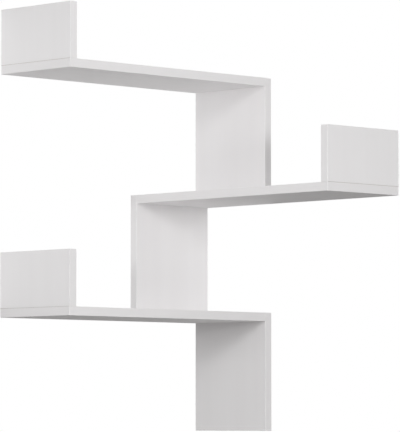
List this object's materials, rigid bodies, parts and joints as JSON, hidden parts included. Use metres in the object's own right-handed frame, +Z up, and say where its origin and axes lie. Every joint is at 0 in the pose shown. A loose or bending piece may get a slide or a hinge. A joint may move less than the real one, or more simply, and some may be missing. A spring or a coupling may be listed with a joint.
{
  "type": "corner wall shelf",
  "caption": "Zigzag corner wall shelf of white board: shelves run along two walls in turn, joined by panels flat on the walls, with low end panels and hidden keyhole hangers.",
  "frame": {"origin": "room corner at the foot of the lowest panel", "axes": "+Z up; the right wall is Y = 0 with the shelf at -Y; the left wall is X = 0 with the shelf at +X"},
  "size_m": [0.6, 0.6, 0.9],
  "materials": {
    "white_board": "chipboard faced with matt white melamine, faint wood grain",
    "edge_band": "white plastic edging with a faint grain, rounded edges",
    "beech": "bare beech",
    "cast_zinc": "bare zinc casting",
    "screw_steel": "zinc plated",
    "plate_steel": "galvanised",
    "cap_plastic": "satin moulded"
  },
  "bodies": {
    "root": {"bottom_end_panel": "white_board", "bottom_end_panel_cam_bolts": "screw_steel", "bottom_end_panel_cam_caps": "cap_plastic", "bottom_end_panel_cams": "cast_zinc", "bottom_end_panel_dowels": "beech", "bottom_end_panel_front_band": "edge_band", "bottom_end_panel_hanger": "plate_steel", "bottom_end_panel_top_band": "edge_band", "bottom_shelf": "white_board", "bottom_shelf_dowels": "beech", "bottom_shelf_end_band": "edge_band", "bottom_shelf_front_band": "edge_band", "bottom_shelf_screws": "screw_steel", "hanger_screws": "screw_steel", "lower_wall_panel": "white_board", "lower_wall_panel_foot_band": "edge_band", "lower_wall_panel_front_band": "edge_band", "lower_wall_panel_hanger": "plate_steel", "lower_wall_panel_top_band": "edge_band", "middle_end_panel": "white_board", "middle_end_panel_cam_bolts": "screw_steel", "middle_end_panel_cam_caps": "cap_plastic", "middle_end_panel_cams": "cast_zinc", "middle_end_panel_dowels": "beech", "middle_end_panel_front_band": "edge_band", "middle_end_panel_hanger": "plate_steel", "middle_end_panel_top_band": "edge_band", "middle_shelf": "white_board", "middle_shelf_dowels": "beech", "middle_shelf_end_band": "edge_band", "middle_shelf_front_band": "edge_band", "middle_shelf_screws": "screw_steel", "middle_wall_panel": "white_board", "middle_wall_panel_cam_bolts": "screw_steel", "middle_wall_panel_cams": "cast_zinc", "middle_wall_panel_dowels": "beech", "middle_wall_panel_front_band": "edge_band", "middle_wall_panel_hanger": "plate_steel", "middle_wall_panel_top_band": "edge_band", "top_end_panel": "white_board", "top_end_panel_cam_bolts": "screw_steel", "top_end_panel_cam_caps": "cap_plastic", "top_end_panel_cams": "cast_zinc", "top_end_panel_dowels": "beech", "top_end_panel_front_band": "edge_band", "top_end_panel_hanger": "plate_steel", "top_end_panel_top_band": "edge_band", "top_shelf": "white_board", "top_shelf_dowels": "beech", "top_shelf_end_band": "edge_band", "top_shelf_front_band": "edge_band", "top_shelf_screws": "screw_steel", "upper_wall_panel": "white_board", "upper_wall_panel_cam_bolts": "screw_steel", "upper_wall_panel_cams": "cast_zinc", "upper_wall_panel_dowels": "beech", "upper_wall_panel_front_band": "edge_band", "upper_wall_panel_hanger": "plate_steel", "upper_wall_panel_top_band": "edge_band"}
  },
  "joints": []
}
